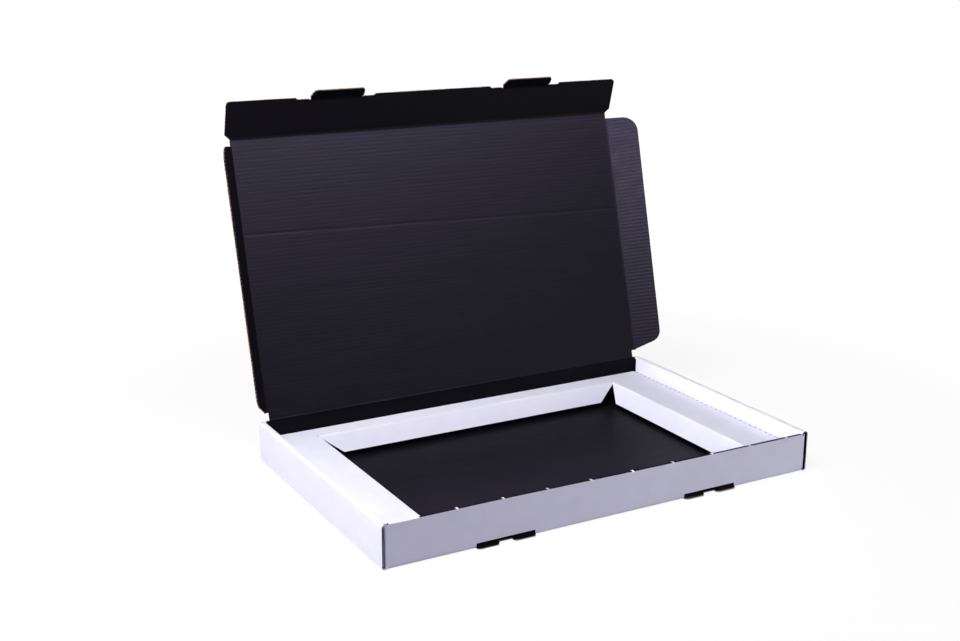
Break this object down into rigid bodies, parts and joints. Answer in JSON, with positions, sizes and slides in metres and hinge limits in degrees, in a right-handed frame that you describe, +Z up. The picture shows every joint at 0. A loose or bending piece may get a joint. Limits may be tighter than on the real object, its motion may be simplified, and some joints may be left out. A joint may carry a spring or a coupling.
{
  "type": "chocolate shipping box",
  "caption": "Shallow corrugated mailer with roll-over side walls, a hinged lid with dust flaps and a tuck-in lock flap, and a loose frame insert that forms a well for chocolates.",
  "frame": {"origin": "middle of the tray's underside", "axes": "+X along the front wall to the right, +Y from the front wall to the hinge, +Z up"},
  "size_m": [0.3742, 0.2726, 0.2719],
  "materials": {
    "white_board": "matt white liner",
    "black_board": "matt black printed liner"
  },
  "bodies": {
    "tray": {"tray": "white_board", "frame_insert": "white_board"},
    "lid": {"lid_panel": "black_board"},
    "front_flap": {"front_flap": "black_board"},
    "lock_tab_left": {"lock_tab_left": "black_board"},
    "lock_tab_right": {"lock_tab_right": "black_board"},
    "dust_flap_left": {"dust_flap_left": "black_board"},
    "dust_flap_right": {"dust_flap_right": "black_board"}
  },
  "joints": [
    {"name": "lid_hinge", "type": "hinge", "parent": "tray", "child": "lid", "pos_m": [0, 0.1055, 0.0313], "axis": [1, 0, 0], "range_deg": [-74.7, 105.3]},
    {"name": "front_flap_hinge", "type": "hinge", "parent": "lid", "child": "front_flap", "pos_m": [0, 0.16165, 0.23656], "axis": [1, 0, 0], "range_deg": [-30, 60]},
    {"name": "lock_tab_left_hinge", "type": "hinge", "parent": "front_flap", "child": "lock_tab_left", "pos_m": [-0.0845, 0.15455, 0.26364], "axis": [1, 0, 0], "range_deg": [-27.6, 55.1]},
    {"name": "lock_tab_right_hinge", "type": "hinge", "parent": "front_flap", "child": "lock_tab_right", "pos_m": [0.0845, 0.15455, 0.26364], "axis": [1, 0, 0], "range_deg": [-27.6, 55.1]},
    {"name": "dust_flap_left_hinge", "type": "hinge", "parent": "lid", "child": "dust_flap_left", "pos_m": [-0.169, 0.1055, 0.0313], "axis": [0, 0.2639, 0.9646], "range_deg": [-70.9, 100]},
    {"name": "dust_flap_right_hinge", "type": "hinge", "parent": "lid", "child": "dust_flap_right", "pos_m": [0.169, 0.1055, 0.0313], "axis": [0, -0.2639, -0.9646], "range_deg": [-86.6, 122.1]}
  ],
  "couplings": [
    {"joint": "lock_tab_left_hinge", "follows": "front_flap_hinge", "ratio": 0.91667},
    {"joint": "lock_tab_right_hinge", "follows": "front_flap_hinge", "ratio": 0.91667},
    {"joint": "dust_flap_left_hinge", "follows": "lid_hinge", "ratio": 0.94967},
    {"joint": "dust_flap_right_hinge", "follows": "lid_hinge", "ratio": 1.1586}
  ]
}
